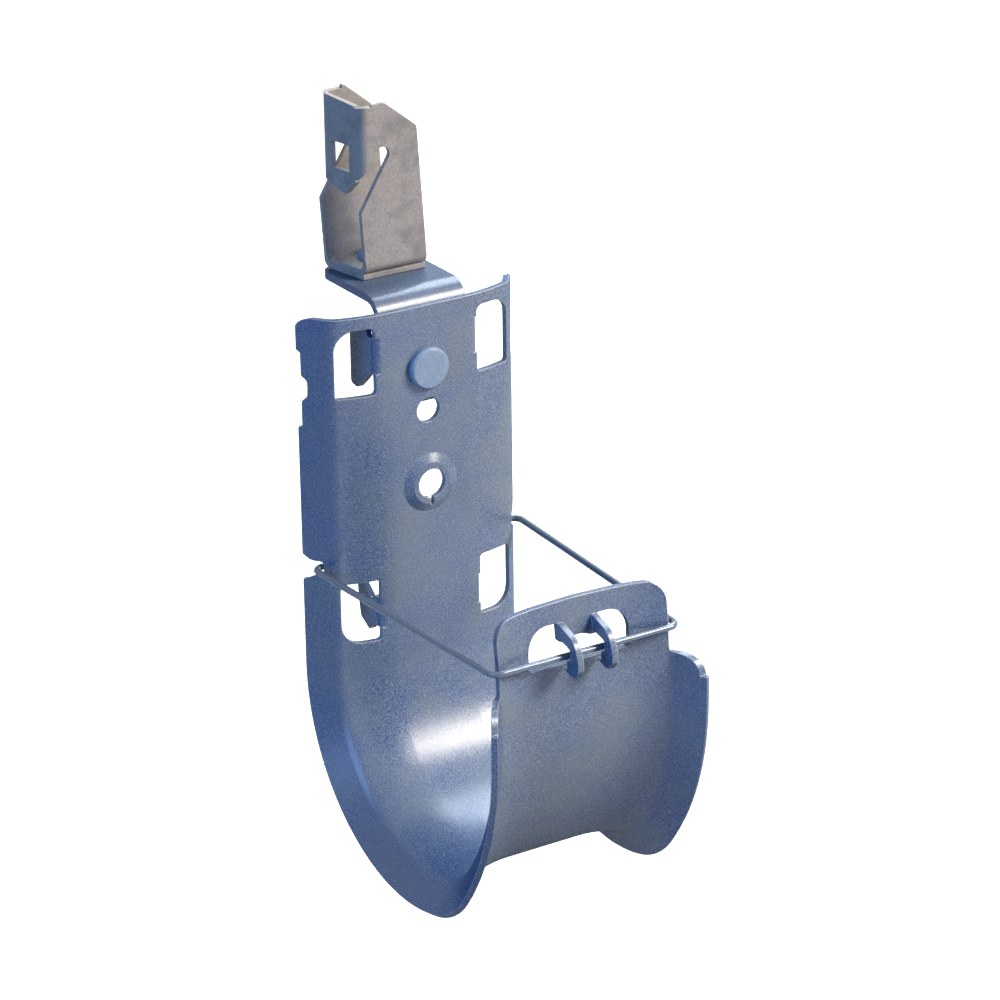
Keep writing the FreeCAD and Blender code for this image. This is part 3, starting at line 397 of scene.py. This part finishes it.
# White matt paper: white to the eye and in reflections, dim where it only bounces light
paper, tree = new_material("white_paper_floor")
colour = add_node(tree, "ShaderNodeMix", MIX_COLOURS, _0=seen_share(tree), _6=linear(BOUNCE),
                  _7=linear(PAPER))
camera_ray = add_node(tree, "ShaderNodeLightPath").outputs["Is Camera Ray"]
lift = add_node(tree, "ShaderNodeMapRange", Value=camera_ray, To_Min=0.0, To_Max=PAPER_LIFT)
matt = add_node(tree, "ShaderNodeBsdfDiffuse", Color=colour.outputs[2])
glow = add_node(tree, "ShaderNodeEmission", Color=linear(WHITE), Strength=lift)
both = add_node(tree, "ShaderNodeAddShader", _0=matt, _1=glow)
add_node(tree, "ShaderNodeOutputMaterial", Surface=both)
mesh = bpy.data.meshes.new("floor")
build = bmesh.new()
bmesh.ops.create_grid(build, x_segments=1, y_segments=1, size=FLOOR_HALF * MM)
build.to_mesh(mesh)
build.free()
mesh.materials.append(paper)
floor = bpy.data.objects.new("floor", mesh)
floor.location.z = CAD_BOX[0][2] - FLOOR_DROP * MM
bpy.context.scene.collection.objects.link(floor)
print("the floor lies at", round(floor.location.z / MM, 1), "mm")

# %% [markdown]
# The world is white to the camera and in reflections, so that the metal shows the
# same background that the eye sees, but it lights matt surfaces with a dim blue
# only. That keeps the form of the sheet in the hands of the lamps.

# %% World
ROOM = "#324460"              # what a matt surface gets from the room

world = bpy.data.worlds.new("white_room")
bpy.context.scene.world = world
world.use_nodes = True
tree = world.node_tree
tree.nodes.clear()
colour = add_node(tree, "ShaderNodeMix", MIX_COLOURS, _0=seen_share(tree), _6=linear(ROOM), _7=linear(WHITE))
air = add_node(tree, "ShaderNodeBackground", Color=colour.outputs[2], Strength=1.0)
add_node(tree, "ShaderNodeOutputWorld", Surface=air)
print("the room lights matt surfaces with", ROOM)

# %% [markdown]
# Three large soft lamps light the object. A warm key stands high in front on the
# right and lights the plate and the inside of the J. One behind on the right gives
# the tops and the right-hand rims their light. A weak blue one on the left fills the
# faces turned that way, which are deep blue in the photograph.

# %% Soft lamps
AIM = (0, -20, 0)             # mm, the middle of the object


def soft_lamp(name, place, width, power, tint):
    """A square area lamp: its place and width in millimetres, its power in watts and its colour."""
    data = bpy.data.lights.new(name, "AREA")
    data.shape = "SQUARE"
    data.size = width * MM
    data.energy = power
    data.color = linear(tint)[:3]
    lamp = bpy.data.objects.new(name, data)
    bpy.context.scene.collection.objects.link(lamp)
    lamp.location = Vector(place) * MM
    lamp.rotation_euler = (Vector(place) - Vector(AIM)).to_track_quat("Z", "Y").to_euler()
    print(name, "stands at", place)


soft_lamp("key", place=(700, -670, 640), width=420, power=15.9, tint="#FFF6E8")
soft_lamp("rear", place=(640, 440, 850), width=680, power=13, tint="#E8F6FF")
soft_lamp("fill", place=(-950, -330, 350), width=600, power=5.0, tint="#7AB4FF")

# %% [markdown]
# The camera stands where the photograph was taken from: low over the left front
# corner, far away with a long lens, so that the perspective is slight.

# %% Camera
AZIMUTH = math.radians(-32.0)
ELEVATION = math.radians(22.61)
ROLL = math.radians(-0.75)
CAMERA_PLACE = (-362.9, -605.5, 290.1)   # mm
FOCAL = 4015.6                # pixels of the photograph
PHOTO_WIDTH = 1000.0          # pixels
SENSOR = 36.0                 # mm
SIGHT = 20.0                  # metres, past the floor's far corner

ahead = Vector((-math.sin(AZIMUTH) * math.cos(ELEVATION), math.cos(AZIMUTH) * math.cos(ELEVATION),
                -math.sin(ELEVATION)))
level = Vector((math.cos(AZIMUTH), math.sin(AZIMUTH), 0))
upright = level.cross(ahead)
right = level * math.cos(ROLL) + upright * math.sin(ROLL)
up = upright * math.cos(ROLL) - level * math.sin(ROLL)
turned = Matrix((right, up, -ahead)).transposed().to_4x4()
lens = bpy.data.cameras.new("camera")
lens.sensor_width = SENSOR
lens.lens = FOCAL * SENSOR / PHOTO_WIDTH
lens.clip_end = SIGHT
camera = bpy.data.objects.new("camera", lens)
bpy.context.scene.collection.objects.link(camera)
camera.matrix_world = Matrix.Translation(Vector(CAMERA_PLACE) * MM) @ turned
bpy.context.scene.camera = camera
bpy.context.scene.view_settings.view_transform = "Standard"
print("lens", round(lens.lens, 1), "mm")
